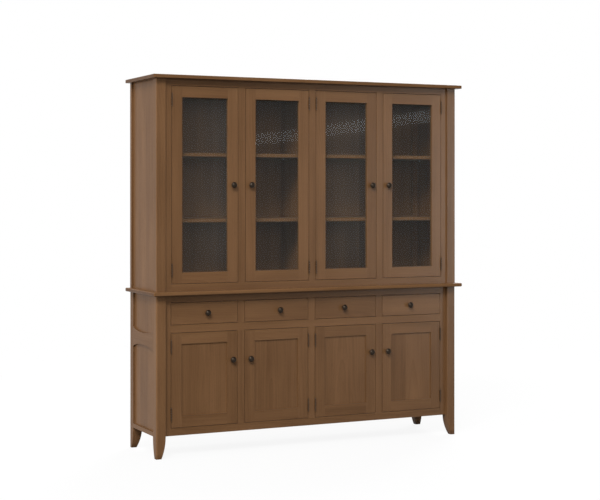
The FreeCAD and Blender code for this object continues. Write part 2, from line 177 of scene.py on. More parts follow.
# %% Softboxes
def soft_lamp(name, target, direction, distance, wide, tall, level):
    """A softbox that faces its target, where a white card turned to it would be as bright as level."""
    data = bpy.data.lights.new(name, "AREA")
    data.shape = "RECTANGLE"
    data.size = wide
    data.size_y = tall
    data.energy = level * (math.pi * distance) ** 2
    lamp = add_object(name, data)
    toward = Vector(direction).normalized()
    lamp.location = Vector(target) + toward * distance
    lamp.rotation_mode = "QUATERNION"
    lamp.rotation_quaternion = toward.to_track_quat("Z", "Y")
    lamp.visible_camera = False
    print(name, "at", [round(v, 2) for v in lamp.location], round(data.energy), "watts")
    return lamp


half_height = (cad_box[0][2] + cad_box[1][2]) / 2
object_middle = (0, 0, half_height)
left_side = (cad_box[0][0], 0, half_height)
soft_lamp("key_lamp", object_middle, (-0.75, -1.0, 1.0), distance=16.0, wide=8.0, tall=5.0, level=0.97)
soft_lamp("low_lamp", object_middle, (-0.35, -1.0, 0.2), distance=16.0, wide=8.0, tall=4.0, level=0.17)
side_lamp = soft_lamp("side_lamp", left_side, (-1.0, -0.12, 0.2),
                      distance=8.0, wide=3.0, tall=3.0, level=0.61)
side_lamp.visible_glossy = False
soft_lamp("back_lamp", object_middle, (0.9, 1.0, 0.8), distance=16.0, wide=8.0, tall=5.0, level=0.9)

# %% [markdown]
# ## Sheen on the lacquer
# Lacquer turns greyish where it mirrors something pale, here towards the right. A lamp whose mirror
# image in the doors' plane lies a little to their right gives that. It sends out no light for matt
# surfaces, and light linking lets it reach only the upright wood on the outside, which joins its
# collection further down.

# %% Sheen lamp
SHEEN_AT = Vector((1.8, -0.18, 1.4))      # where a mirror on the doors' plane would show the lamp
toward_camera = camera_place - SHEEN_AT
mirrored = Vector((-toward_camera.x, toward_camera.y, -toward_camera.z))
sheen = soft_lamp("sheen_lamp", SHEEN_AT, mirrored,
                  distance=toward_camera.length, wide=2.6, tall=2.6, level=1.4)
sheen.visible_diffuse = False
lacquered = bpy.data.collections.new("lacquered_wood")
sheen.light_linking.receiver_collection = lacquered

# %% [markdown]
# ## Band in the glass
# The panes mirror a long bright strip that crosses them at a slant. A narrow lamp in the mirrored place
# draws it, and it too gives no light for matt surfaces. Its length is turned a little out of level.

# %% Strip lamp
STRIP_AT = Vector((0, -0.17, 1.6))
STRIP_SLOPE = 0.15
strip = soft_lamp("strip_lamp", STRIP_AT, (3.76, -6.83, 0.47),
                  distance=7.81, wide=2.6, tall=0.13, level=0.0062)
facing = strip.rotation_quaternion @ Vector((0, 0, 1))
long_way = Vector((1, 0, STRIP_SLOPE))
long_way = (long_way - facing * long_way.dot(facing)).normalized()
strip.rotation_quaternion = Matrix((long_way, facing.cross(long_way), facing)).transposed().to_quaternion()
strip.visible_diffuse = False

# %% [markdown]
# ## Floor
# The floor is treated like the surround: what is seen of it is nearly white and keeps a faint shadow,
# and what it throws back at the object is less, so that legs and lower edges stay darker than the rest.

# %% Floor
FLOOR_RADIUS = 6.0

floor_mesh = bpy.data.meshes.new("floor")
disc = bmesh.new()
bmesh.ops.create_circle(disc, cap_ends=True, radius=FLOOR_RADIUS, segments=96)
disc.to_mesh(floor_mesh)
floor = add_object("floor", floor_mesh)
print("floor", FLOOR_RADIUS, "m round")

# %% Floor paint
FADE_FROM, FADE_TO = 2.6, 5.6     # the floor melts into the white surround
FLOOR_SEEN = (0.80, 0.80, 0.80, 1)
FLOOR_BOUNCE = (0.20, 0.20, 0.20, 1)
SHOWN_WHITE = 0.90                # share of plain white in the floor as it is seen

floor_paint = bpy.data.materials.new("pale_floor")
floor_paint.use_nodes = True
paint = floor_paint.node_tree
paint.nodes.clear()
seen = seen_directly(paint)
matt = put(paint, "ShaderNodeBsdfDiffuse", {"Color": tint(paint, seen, FLOOR_BOUNCE, FLOOR_SEEN)}).outputs[0]
white = put(paint, "ShaderNodeEmission", {"Color": WHITE, "Strength": 1.0}).outputs[0]
share = calc(paint, "MULTIPLY", seen, SHOWN_WHITE)
pale = put(paint, "ShaderNodeMixShader", {0: share, 1: matt, 2: white}).outputs[0]
where = put(paint, "ShaderNodeTexCoord").outputs["Object"]
away = put(paint, "ShaderNodeVectorMath", {0: where}, operation="LENGTH").outputs["Value"]
fade = put(paint, "ShaderNodeMapRange", {"Value": away, "From Min": FADE_FROM, "From Max": FADE_TO},
           interpolation_type="SMOOTHSTEP").outputs[0]
clear = put(paint, "ShaderNodeBsdfTransparent").outputs[0]
faded = put(paint, "ShaderNodeMixShader", {0: fade, 1: pale, 2: clear}).outputs[0]
put(paint, "ShaderNodeOutputMaterial", {"Surface": faded})
floor_mesh.materials.append(floor_paint)
print("floor paint:", len(paint.nodes), "nodes")

# %% [markdown]
# ## Wood grain
# A board is a slice of a log, so its figure is the log's rings as the slice meets them: straight lines
# on a narrow stile, arches on a wide panel, arcs on an end. An image would have to be wrapped round each
# board. Here each board instead carries the place that it had in its log, in metres, with the log's core
# along Z, and the rings are worked out there. So the figure runs on over every edge. Streaks, fibres and
# pores are noise that is stretched along the grain.

# %% Helpers for shader groups
def new_group(name, inputs, outputs):
    """A shader group, with the sockets that it is given and those that it fills."""
    group = bpy.data.node_groups.new(name, "ShaderNodeTree")
    for side, sockets in (("INPUT", inputs), ("OUTPUT", outputs)):
        for label, kind in sockets.items():
            group.interface.new_socket(label, in_out=side, socket_type="NodeSocket" + kind)
    return group, group.nodes.new("NodeGroupInput").outputs, group.nodes.new("NodeGroupOutput").inputs


def long_noise(tree, place, across, along, detail=2.0):
    """Noise with so many features to the metre across the grain and along it."""
    scaled = put(tree, "ShaderNodeVectorMath", {0: place, 1: (across, across, along)}, operation="MULTIPLY")
    noise = put(tree, "ShaderNodeTexNoise", {"Vector": scaled.outputs[0], "Scale": 1.0, "Detail": detail})
    return calc(tree, "SUBTRACT", noise.outputs[0], 0.5)


# %% Shader group for the grain: rings
RING_PITCH = 8.5 * MM
RING_SWAY = 45 * MM
LOG_TAPER = 0.022
LATE_WOOD = 2.5                   # how suddenly a ring darkens at the end of its year
RING_MEAN = 0.28                  # how dark a ring is on average

grain_group, given, result = new_group(
    "grain",
    {"Place": "Vector", "Tone": "Float", "Pale": "Color", "Deep": "Color",
     "Rings": "Float", "Streaks": "Float", "Pores": "Float"},
    {"Color": "Color", "Roughness": "Float", "Height": "Float"})
g, place = grain_group, given["Place"]
sway = calc(g, "MULTIPLY", long_noise(g, place, across=4.0, along=1.3), RING_SWAY)
flat = put(g, "ShaderNodeVectorMath", {0: place, 1: (1, 1, 0)}, operation="MULTIPLY").outputs[0]
from_core = put(g, "ShaderNodeVectorMath", {0: flat}, operation="LENGTH").outputs["Value"]
up_log = put(g, "ShaderNodeSeparateXYZ", {0: place}).outputs["Z"]
radius = calc(g, "ADD", calc(g, "MULTIPLY_ADD", up_log, LOG_TAPER, from_core), sway)
year = calc(g, "DIVIDE", radius, RING_PITCH)
growth = calc(g, "POWER", calc(g, "FRACT", year), LATE_WOOD)
season = put(g, "ShaderNodeTexWhiteNoise", {"W": calc(g, "FLOOR", year)}, noise_dimensions="1D").outputs[0]
ring = calc(g, "MULTIPLY", calc(g, "SUBTRACT", growth, RING_MEAN), calc(g, "ADD", season, 0.5))
print("rings:", len(g.nodes), "nodes")

# %% Shader group for the grain: streaks, fibres and pores
BAND_SHARE, BLOTCH_SHARE, FIBRE_SHARE = 0.75, 0.7, 0.3
PORE_FROM, PORE_FULL = 0.10, 0.22          # where fine noise opens into a pore
PORE_COLOUR = (0.012, 0.007, 0.004, 1)
SATIN = 0.32                      # roughness of the lacquer between the pores
ROUGHER = 0.18                    # what fibres and pores add to it

streak = long_noise(g, place, across=75.0, along=1.8, detail=3.0)
band = long_noise(g, place, across=24.0, along=1.0)
blotch = long_noise(g, place, across=7.0, along=2.6)
fibre = long_noise(g, place, across=620.0, along=11.0)
fine = long_noise(g, place, across=1250.0, along=42.0)
pore = put(g, "ShaderNodeMapRange", {"Value": fine, "From Min": PORE_FROM, "From Max": PORE_FULL}).outputs[0]
depth = calc(g, "MULTIPLY_ADD", ring, given["Rings"], 0.5)
depth = calc(g, "MULTIPLY_ADD", streak, given["Streaks"], depth)
depth = calc(g, "MULTIPLY_ADD", band, BAND_SHARE, depth)
depth = calc(g, "MULTIPLY_ADD", blotch, BLOTCH_SHARE, depth)
depth = calc(g, "MULTIPLY_ADD", fibre, FIBRE_SHARE, depth)
depth = calc(g, "ADD", depth, given["Tone"], clamp=True)
dyed = tint(g, depth, given["Pale"], given["Deep"])
open_pores = calc(g, "MULTIPLY", pore, given["Pores"])
g.links.new(tint(g, open_pores, dyed, PORE_COLOUR), result["Color"])
rough = calc(g, "MULTIPLY_ADD", pore, ROUGHER, SATIN)
g.links.new(calc(g, "MULTIPLY_ADD", fibre, ROUGHER, rough), result["Roughness"])
g.links.new(calc(g, "SUBTRACT", fibre, open_pores), result["Height"])
print("grain group:", len(g.nodes), "nodes")

# %% [markdown]
# ## Rubbed edges
# Stain soaks deep into end grain and is rubbed thin on the arrises, where sanding and hands take it
# away. Each face says whether it is an eased edge or an end, and a second group lightens or darkens by
# that, with noise so that no edge is an even line. The same darkening also paints shade on the edges of
# doors and drawers where they face their gaps, and on the feet near the floor.

# %% Shader group for edges and ends
# besides soaked end grain, this tint paints shade on door and drawer edges in their gaps and on the feet near the
# floor
END_GRAIN_AND_SHADE_TINT = (0.45, 0.40, 0.36, 1)          # what soaked end grain leaves of each colour
END_GRAIN_AND_SHADE_SHARE = 0.7
BARE_WOOD = (0.30, 0.19, 0.115, 1)

edge_group, given, result = new_group(
    "rubbed edges", {"Color": "Color", "Place": "Vector", "Edge": "Float", "End": "Float", "Rub": "Float"},
    {"Color": "Color"})
e = edge_group
patchy = calc(e, "ADD", long_noise(e, given["Place"], across=60.0, along=14.0), 0.55, clamp=True)
rub = calc(e, "MULTIPLY", calc(e, "MULTIPLY", given["Edge"], given["Rub"]), patchy)
end_grain_and_shade_colour = tint(e, calc(e, "MULTIPLY", given["End"], END_GRAIN_AND_SHADE_SHARE), given["Color"], END_GRAIN_AND_SHADE_TINT, "MULTIPLY")
e.links.new(tint(e, rub, end_grain_and_shade_colour, BARE_WOOD), result["Color"])
print("edge group:", len(e.nodes), "nodes")

# %% [markdown]
# ## Three woods
# The show wood is a satin brown stain. The backs are sheets in the same stain, a little darker because
# they soak up more of it. The drawer boxes and runners are pale wood with only a clear coat. All three
# are the same two groups with other values, so they look like one maker's work. Close to the floor the
# toes of the feet are painted as dark as end grain: painted shade where they meet the floor.

# %% A wood from the two groups
# height over which the feet get painted shade, darker towards the floor
FLOOR_SHADE_HEIGHT = 28 * MM
GRAIN_DEPTH = 0.4 * MM


def wood(name, pale, deep, rings, streaks, pores, rub, gloss):
    """A lacquered wood between two colours. The other values say how strong each mark of the grain is."""
    material = bpy.data.materials.new(name)
    material.use_nodes = True
    tree = material.node_tree
    shader = tree.nodes["Principled BSDF"]
    place = put(tree, "ShaderNodeAttribute", attribute_name="grain_place").outputs["Vector"]
    board = put(tree, "ShaderNodeAttribute", attribute_name="board").outputs["Vector"]
    tone, edge, end = put(tree, "ShaderNodeSeparateXYZ", {0: board}).outputs
    where = put(tree, "ShaderNodeTexCoord").outputs["Object"]
    height = put(tree, "ShaderNodeSeparateXYZ", {0: where}).outputs["Z"]
    # painted shade near the floor, darkest at the floor, goes in with the end grain
    floor_shade = put(tree, "ShaderNodeMapRange", {"Value": height, "From Min": FLOOR_SHADE_HEIGHT, "From Max": 0.0}).outputs[0]
    end = calc(tree, "MAXIMUM", end, floor_shade)
    grain = put(tree, "ShaderNodeGroup",
                {"Place": place, "Tone": tone, "Pale": (*pale, 1), "Deep": (*deep, 1),
                 "Rings": rings, "Streaks": streaks, "Pores": pores}, node_tree=grain_group)
    edged = put(tree, "ShaderNodeGroup",
                {"Color": grain.outputs["Color"], "Place": place, "Edge": edge, "End": end, "Rub": rub},
                node_tree=edge_group)
    bump = put(tree, "ShaderNodeBump",
               {"Height": grain.outputs["Height"], "Strength": 0.25, "Distance": GRAIN_DEPTH})
    tree.links.new(edged.outputs["Color"], shader.inputs["Base Color"])
    tree.links.new(grain.outputs["Roughness"], shader.inputs["Roughness"])
    tree.links.new(bump.outputs[0], shader.inputs["Normal"])
    shader.inputs["Specular IOR Level"].default_value = gloss
    return material


# %% The three woods
finishes = {
    "stained_wood": wood("stained_wood", pale=(0.181, 0.0925, 0.041), deep=(0.095, 0.045, 0.018),
                         rings=0.18, streaks=0.3, pores=0.3, rub=0.12, gloss=0.05),
    "back_board": wood("back_board", pale=(0.165, 0.085, 0.038), deep=(0.088, 0.043, 0.018),
                       rings=0.20, streaks=0.3, pores=0.3, rub=0.12, gloss=0.3),
    "plain_wood": wood("plain_wood", pale=(0.50, 0.35, 0.20), deep=(0.34, 0.215, 0.11),
                       rings=0.25, streaks=0.6, pores=0.25, rub=0.1, gloss=0.2),
}
print("woods:", sorted(finishes))

# %% [markdown]
# ## Boards out of the frame
# A node of the frame is a bag of loose triangles that may hold several boards, and boards that touch
# share corner points. Merging the points would weld neighbours together. The triangles come solid by
# solid, though, and a solid is whole at the moment when every edge has met its partner, so that is where
# one board ends.

# %% Split a node into its solids
def solids_of(node):
    """The triangles of each solid of a node, as rings of points."""
    mesh = frame["nodes"][node].data
    points = [tuple(round(c, 6) for c in vertex.co) for vertex in mesh.vertices]
    solids, faces, waiting, unmet = [], [], {}, 0
    for polygon in mesh.polygons:
        ring = [points[index] for index in polygon.vertices]
        faces.append(ring)
        for start, end in zip(ring, ring[1:] + ring[:1]):
            if waiting.get((end, start)):
                waiting[end, start] -= 1
                unmet -= 1
            elif start != end:
                waiting[start, end] = waiting.get((start, end), 0) + 1
                unmet += 1
        if not unmet:
            solids.append(faces)
            faces, waiting = [], {}
    return solids


print("solids in the base frame:", len(solids_of("base_face_frame")))

# %% Whole faces in place of triangles
FLAT = math.radians(0.4)


def clean_solid(faces):
    """One board as a mesh with whole flat faces in place of triangles."""
    board = bmesh.new()
    corners = {point: board.verts.new(point) for point in dict.fromkeys(p for ring in faces for p in ring)}
    for ring in faces:
        if len(set(ring)) == 3:
            board.faces.new([corners[point] for point in ring])
    bmesh.ops.dissolve_limit(board, angle_limit=FLAT, verts=board.verts, edges=board.edges)
    return board


def span(points):
    """The low and the high corner of a set of points."""
    array = np.array([tuple(point) for point in points])
    return array.min(axis=0), array.max(axis=0)


first_post = clean_solid(solids_of("hutch_posts")[0])
print("faces of a hutch post:", len(first_post.faces))
first_post.free()

# %% [markdown]
# ## Staves, eased edges and grain
# Wide panels aren't one plank: they are glued up from staves, and each stave has its own tone. So a wide
# board is cut into strips that keep one flat face. A Bevel modifier then eases every sharp edge by the
# weight that the edge carries, and marks the new faces by a second material slot. Hands and sandpaper
# round the outer corners of the posts most, the edges of doors and drawers less, and tight joints hardly
# at all. Last, each corner of each face gets its place in the log.

# %% Facts of a board
WIDE_BOARD = 140 * MM
SEAM_SWAY = 0.3                   # of a stave's width
FLAT_ASIDE = 35 * MM              # flat sawn: how far to one side of the board its log's core may lie
FLAT_DEPTH = (35 * MM, 100 * MM)  # and how far above or below
RIFT_TURN = (15, 75)              # otherwise: degrees from the board's face to the core
RIFT_REACH = (100 * MM, 220 * MM)
LOG_LENGTH = 9


class Board:
    """Where one board is, which way its grain runs and where its glue lines are."""

    def __init__(self, low, high, rng, stave_width, upright):
        self.low, self.high = low, high
        size = high - low
        self.along = 2 if upright else int(np.argmax(size))
        others = sorted((axis for axis in range(3) if axis != self.along), key=lambda axis: size[axis])
        self.through, self.across = others
        width = size[self.across]
        count = max(1, round(width / stave_width)) if width > WIDE_BOARD else 1
        pitch = width / count
        self.seams = [low[self.across] + pitch * (index + rng.uniform(-SEAM_SWAY, SEAM_SWAY))
                      for index in range(1, count)]
        self.staves = [self.log_place(rng, count > 1) for _ in range(count)]

    def log_place(self, rng, flat_sawn):
        """Offsets from the log's core, a length along it, and a tone."""
        if flat_sawn:
            core = (rng.uniform(-FLAT_ASIDE, FLAT_ASIDE), rng.choice((-1, 1)) * rng.uniform(*FLAT_DEPTH))
        else:
            turn = math.radians(rng.uniform(*RIFT_TURN))
            reach = rng.uniform(*RIFT_REACH)
            core = (reach * math.cos(turn), reach * math.sin(turn))
        return core[0], core[1], rng.uniform(0, LOG_LENGTH), rng.uniform(-1, 1)


# %% Cut wide boards into staves
def add_solid(whole, solid):
    """Copies one board into the mesh of its node, without welding it to its neighbours."""
    piece = bpy.data.meshes.new("one_board")
    solid.to_mesh(piece)
    whole.from_mesh(piece)
    bpy.data.meshes.remove(piece)


def glued_boards(node, stave_width, upright):
    """A mesh with every board of a node, and the facts of each board."""
    rng = random.Random(node)
    whole, boards = bmesh.new(), []
    for faces in solids_of(node):
        solid = clean_solid(faces)
        board = Board(*span(p for ring in faces for p in ring), rng, stave_width, upright)
        normal = Vector((0, 0, 0))
        normal[board.across] = 1
        for seam in board.seams:
            bmesh.ops.bisect_plane(solid, geom=solid.verts[:] + solid.edges[:] + solid.faces[:],
                                   plane_co=normal * seam, plane_no=normal, dist=1e-6)
        add_solid(whole, solid)
        boards.append(board)
    mesh = bpy.data.meshes.new(node)
    whole.to_mesh(mesh)
    return mesh, boards


print("boards over", WIDE_BOARD, "m wide are glued up from staves")

# %% Ease the edges
SHARP = math.radians(30)
WIDEST = 8 * MM


def apply_modifiers(piece):
    """The mesh that the modifiers make takes the plain one's place."""
    plain = piece.data
    ready = piece.evaluated_get(bpy.context.evaluated_depsgraph_get())
    piece.data = bpy.data.meshes.new_from_object(ready)
    piece.modifiers.clear()
    bpy.data.meshes.remove(plain)


def eased(name, mesh, material, width_of):
    """The mesh as an object whose arrises are as wide as width_of(edge) says. Slot 1 marks them."""
    solid = bmesh.new()
    solid.from_mesh(mesh)
    weight = solid.edges.layers.float.new("bevel_weight_edge")
    for edge in solid.edges:
        if edge.calc_face_angle(0) > SHARP:
            edge[weight] = width_of(edge) / WIDEST
    solid.to_mesh(mesh)
    piece = add_object(name, mesh)
    mesh.materials.append(material)
    mesh.materials.append(material)
    mesh.shade_smooth()
    bevel = piece.modifiers.new("eased edges", "BEVEL")
    bevel.width = WIDEST
    bevel.segments = 3
    bevel.limit_method = "WEIGHT"
    bevel.harden_normals = True
    bevel.material = 1
    apply_modifiers(piece)
    return piece


def one_slot(piece):
    """Every face back on the first material slot."""
    mesh = piece.data
    mesh.polygons.foreach_set("material_index", [0] * len(mesh.polygons))
    mesh.materials.pop(index=1)


print("edges sharper than", round(math.degrees(SHARP)), "degrees are eased, by", WIDEST, "m at most")

# %% Give each corner its place in the log
TONE_RANGE = 0.13
TOUCH = 0.02 * MM
END_FACING = 0.9                  # how squarely an end looks along the grain


def lay_grain(mesh, boards, low, high):
    """low and high are the corners of an opening's filling, whose edges facing the gaps get painted shade, or far
    away.
    """
    count = len(mesh.polygons)
    centres, normals = np.zeros(count * 3), np.zeros(count * 3)
    slots, totals = np.zeros(count, int), np.zeros(count, int)
    wanted = {"center": centres, "normal": normals, "material_index": slots, "loop_total": totals}
    for name, array in wanted.items():
        mesh.polygons.foreach_get(name, array)
    centres, normals = centres.reshape(-1, 3), normals.reshape(-1, 3)
    places = np.zeros(len(mesh.vertices) * 3)
    corners = np.zeros(len(mesh.loops), int)
    mesh.vertices.foreach_get("co", places)
    mesh.loops.foreach_get("vertex_index", corners)
    points = places.reshape(-1, 3)[corners]
    # faces on the sides of a door or drawer face the gaps round it and get painted shade, like end grain
    gap_shade_faces = (np.minimum(abs(centres - low), abs(centres - high)) < TOUCH)[:, [0, 2]].any(axis=1)
    log_place = np.zeros_like(points)
    facts = np.zeros_like(points)
    for board in sorted(boards, key=lambda b: -np.prod(b.high - b.low)):
        inside = ((centres > board.low - TOUCH) & (centres < board.high + TOUCH)).all(axis=1)
        stave = np.searchsorted(board.seams, centres[:, board.across])
        middle = (board.low + board.high) / 2
        for index, (aside, below, up, tone) in enumerate(board.staves):
            faces = inside & (stave == index)
            mine = np.repeat(faces, totals)
            log_place[mine, 0] = points[mine, board.across] - middle[board.across] + aside
            log_place[mine, 1] = points[mine, board.through] - middle[board.through] + below
            log_place[mine, 2] = points[mine, board.along] + up
            # end grain, and the painted shade on edges facing the gaps
            end_grain_and_gap_shade = gap_shade_faces | (np.abs(normals[:, board.along]) > END_FACING)
            facts[mine] = np.repeat(np.stack([np.full(count, tone * TONE_RANGE), slots == 1, end_grain_and_gap_shade], 1),
                                    totals, axis=0)[mine]
    for name, values in (("grain_place", log_place), ("board", facts)):
        layer = mesh.attributes.new(name, "FLOAT_VECTOR", "CORNER")
        layer.data.foreach_set("vector", values.astype(np.float32).ravel())


print("staves differ in tone by up to", TONE_RANGE, "each way")


# %% Seat a piece on its body
def seat(piece, node):
    """The piece stands for a node of the frame and moves with its body."""
    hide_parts(node)
    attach(piece, body_of[node])


print("bodies that pieces can ride on:", len(set(body_of.values())))

# %% How far each edge is eased
JOINT_EASE, SHELF_EASE, FILLING_EASE = 0.5 * MM, 1.0 * MM, 0.7 * MM
POST_ROUND = {"base_posts": 7 * MM, "hutch_posts": 3 * MM}
RAIL_ROUND = 3 * MM
FILLINGS = ("upper_door", "lower_door", "drawer_1", "drawer_2", "drawer_3", "drawer_4")


def ease_of(node):
    """How wide the arris is on each edge of a wooden node."""
    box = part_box(node)

    def width(edge):
        ends = [vertex.co for vertex in edge.verts]
        on_x, on_y, on_z = (any(all(abs(end[axis] - corner[axis]) < TOUCH for end in ends) for corner in box)
                            for axis in range(3))
        if node in POST_ROUND and on_x and on_y:
            return POST_ROUND[node]
        if node == "base_side_rails" and on_x and not on_y:
            return RAIL_ROUND
        if node.startswith(FILLINGS) and on_y and (on_x or on_z):
            return FILLING_EASE
        return SHELF_EASE if node.endswith("shelves") else JOINT_EASE

    return width


print("outer corners of the posts are rounded by", POST_ROUND)

# %% Dress every wooden node
STAVE = 110 * MM
SHEET = 300 * MM                  # leaf of veneer on a sheet
sheets = ("base_back_panel", "hutch_back_panel")
# Out of the sheen lamp's reach: what is inside, and the slabs, whose tops would glare when seen from behind
NO_SHEEN = ("back", "floor", "shelves", "partitions", "runners", "_box", "hutch_top", "counter")

for node, slot in subparts.items():
    if slot not in finishes:
        continue
    mesh, boards = glued_boards(node, SHEET if node in sheets else STAVE, node in sheets)
    piece = eased(node + "_finished", mesh, finishes[slot], ease_of(node))
    # a door's or drawer's own box picks the edges that get painted shade in the gaps; other boards have none
    gap_shade_box = [math.inf, math.inf]
    if node.startswith(FILLINGS):
        gap_shade_box = [np.array(corner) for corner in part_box(node)]
    lay_grain(piece.data, boards, *gap_shade_box)
    one_slot(piece)
    seat(piece, node)
    if not any(word in node for word in NO_SHEEN):
        lacquered.objects.link(piece)
print("wooden pieces:", sum(slot in finishes for slot in subparts.values()))

# %% [markdown]
# ## Glass
# The panes are plain float glass, 4 mm thick. A pane is a slab with two faces, so light bends in and out
# and comes through straight. Its transmission is a trace under 1: the rest is a fine haze, which greys
# what stands behind it. Light on its way from a lamp or a wall is let through by a Transparent shader
# instead, because a renderer finds few ways through a refracting slab and the shelves would be dark and
# grainy.

# %% Glass material
PANE_LIGHT = (0.93, 0.94, 0.935, 1)        # what a pane lets through of each colour

glass = bpy.data.materials.new("clear_glass")
glass.use_nodes = True
panes = glass.node_tree
float_glass = panes.nodes["Principled BSDF"]
float_glass.inputs["Base Color"].default_value = (0.90, 0.92, 0.91, 1)
float_glass.inputs["Roughness"].default_value = 0.0
float_glass.inputs["IOR"].default_value = 1.45
float_glass.inputs["Specular Tint"].default_value = (0.08, 0.08, 0.08, 1)
float_glass.inputs["Transmission Weight"].default_value = 0.992
through = put(panes, "ShaderNodeBsdfTransparent", {"Color": PANE_LIGHT}).outputs[0]
path = put(panes, "ShaderNodeLightPath").outputs
pane = float_glass.outputs[0]
for ray in ("Is Diffuse Ray", "Is Shadow Ray"):
    pane = put(panes, "ShaderNodeMixShader", {0: path[ray], 1: pane, 2: through}).outputs[0]
panes.links.new(pane, panes.nodes["Material Output"].inputs["Surface"])
for node, slot in subparts.items():
    if slot == "clear_glass":
        frame["nodes"][node].data.materials.clear()
        frame["nodes"][node].data.materials.append(glass)
print("panes:", sum(slot == "clear_glass" for slot in subparts.values()))

# %% [markdown]
# ## Metal and plastic
# The hardware is dark oiled bronze, the shelf pins are nickel and the catches are brown plastic. What
# they share is a cloudy surface: a mottle that changes the colour and the gloss a little. It is one
# group. Bronze also wears bright where it is rubbed, which the knobs and hinges carry as an attribute.

# %% Shader group for a cloudy surface
GLOSS_CHANGE = 0.3

mottle_group, given, result = new_group(
    "mottle", {"Base": "Color", "Cloud": "Color", "Amount": "Float", "Gloss": "Float"},
    {"Color": "Color", "Roughness": "Float", "Height": "Float"})
m = mottle_group
where = put(m, "ShaderNodeTexCoord").outputs["Object"]
cloud = put(m, "ShaderNodeTexNoise", {"Vector": where, "Scale": 240.0, "Detail": 3.0}).outputs[0]
speck = put(m, "ShaderNodeTexNoise", {"Vector": where, "Scale": 1900.0, "Detail": 1.0}).outputs[0]
clouded = calc(m, "MULTIPLY", cloud, given["Amount"])
m.links.new(tint(m, clouded, given["Base"], given["Cloud"]), result["Color"])
uneven = calc(m, "SUBTRACT", cloud, 0.5)
m.links.new(calc(m, "MULTIPLY_ADD", uneven, GLOSS_CHANGE, given["Gloss"]), result["Roughness"])
m.links.new(speck, result["Height"])
print("mottle group:", len(m.nodes), "nodes")


# %% Materials for the hardware
def hardware(name, base, cloud, amount, gloss, metallic):
    """A metal or a plastic with the cloudy surface."""
    material = bpy.data.materials.new(name)
    material.use_nodes = True
    tree = material.node_tree
    shader = tree.nodes["Principled BSDF"]
    mottle = put(tree, "ShaderNodeGroup",
                 {"Base": (*base, 1), "Cloud": (*cloud, 1), "Amount": amount, "Gloss": gloss},
                 node_tree=mottle_group)
    bump = put(tree, "ShaderNodeBump",
               {"Height": mottle.outputs["Height"], "Strength": 0.15, "Distance": 0.1 * MM})
    tree.links.new(mottle.outputs["Color"], shader.inputs["Base Color"])
    tree.links.new(mottle.outputs["Roughness"], shader.inputs["Roughness"])
    tree.links.new(bump.outputs[0], shader.inputs["Normal"])
    shader.inputs["Metallic"].default_value = metallic
    return material


bronze = hardware("dark_bronze", base=(0.014, 0.011, 0.008), cloud=(0.036, 0.024, 0.016),
                  amount=0.8, gloss=0.34, metallic=0.9)
nickel = hardware("pin_steel", base=(0.56, 0.55, 0.53), cloud=(0.42, 0.41, 0.40),
                  amount=0.6, gloss=0.28, metallic=1.0)
plastic = hardware("catch_plastic", base=(0.085, 0.055, 0.036), cloud=(0.060, 0.040, 0.028),
                   amount=0.7, gloss=0.45, metallic=0.0)
finishes.update({"dark_bronze": bronze, "pin_steel": nickel, "catch_plastic": plastic})
print("finishes:", sorted(finishes))

# %% Bright bronze where it is rubbed
BRIGHT_BRONZE = (0.24, 0.135, 0.075, 1)

tree = bronze.node_tree
shader = tree.nodes["Principled BSDF"]
colour = shader.inputs["Base Color"].links[0].from_socket
rubbed = put(tree, "ShaderNodeAttribute", attribute_name="rubbed").outputs["Fac"]
tree.links.new(tint(tree, rubbed, colour, BRIGHT_BRONZE), shader.inputs["Base Color"])
print("bronze:", len(tree.nodes), "nodes")

# %% [markdown]
# ## Knobs
# A mushroom knob is turned on a lathe, so its whole shape is one outline spun about its axis: a base
# ring, a neck, a cove under the head, a rounded rim and a low dome. The outline is worked out from the
# knob's radius and how far it stands out, which the frame gives.

# %% Lathe
def arc(centre, radius, start, stop, steps):
    """Points of an arc, with its angles in degrees."""
    turns = [math.radians(start + (stop - start) * step / steps) for step in range(steps + 1)]
    return [(centre[0] + radius * math.cos(turn), centre[1] + radius * math.sin(turn)) for turn in turns]


def turned(solid, outline, centre, axis, segments=40):
    """Adds the outline's (radius, reach) points, spun about an axis, to a bmesh."""
    aside = axis.orthogonal().normalized()
    beside = axis.cross(aside)
    rings = []
    for radius, reach in outline:
        middle = centre + axis * reach
        turns = [math.tau * step / segments for step in range(segments)] if radius > 1e-9 else [0]
        rings.append([solid.verts.new(middle + (aside * math.cos(t) + beside * math.sin(t)) * radius)
                      for t in turns])
    faces = []
    for low, high in zip(rings, rings[1:]):
        for step in range(segments):
            after = (step + 1) % segments
            corners = [low[step % len(low)], low[after % len(low)],
                       high[after % len(high)], high[step % len(high)]]
            faces.append(solid.faces.new(list(dict.fromkeys(corners))))
    bmesh.ops.recalc_face_normals(solid, faces=faces)


# %% Outline of a knob
KNOB_BASE, KNOB_NECK = 8.0 * MM, 5.5 * MM
BASE_THICKNESS, BASE_ROUND = 2.5 * MM, 0.8 * MM
RIM_ROUND = 1.5 * MM
RIM_REACH = 18.0 * MM


def knob_outline(radius, projection):
    """Points from the middle of the base to the top of the dome, each a radius and a reach."""
    crown = projection - RIM_REACH
    dome = (radius ** 2 + crown ** 2) / (2 * crown)
    half_angle = math.degrees(math.asin((radius - RIM_ROUND) / dome))
    cove = radius - RIM_ROUND - KNOB_NECK
    outline = [(0, 0), (KNOB_BASE, 0)]
    outline += arc((KNOB_BASE - BASE_ROUND, BASE_THICKNESS - BASE_ROUND), BASE_ROUND, 0, 90, 4)
    outline += [(KNOB_NECK, BASE_THICKNESS)]
    outline += arc((KNOB_NECK + cove, RIM_REACH - RIM_ROUND - cove), cove, 180, 90, 10)
    outline += arc((radius - RIM_ROUND, RIM_REACH), RIM_ROUND, -90, 90 - half_angle, 6)
    outline += arc((0, projection - dome), dome, 90 - half_angle, 90, 10)[1:-1]
    return outline + [(0, projection)]


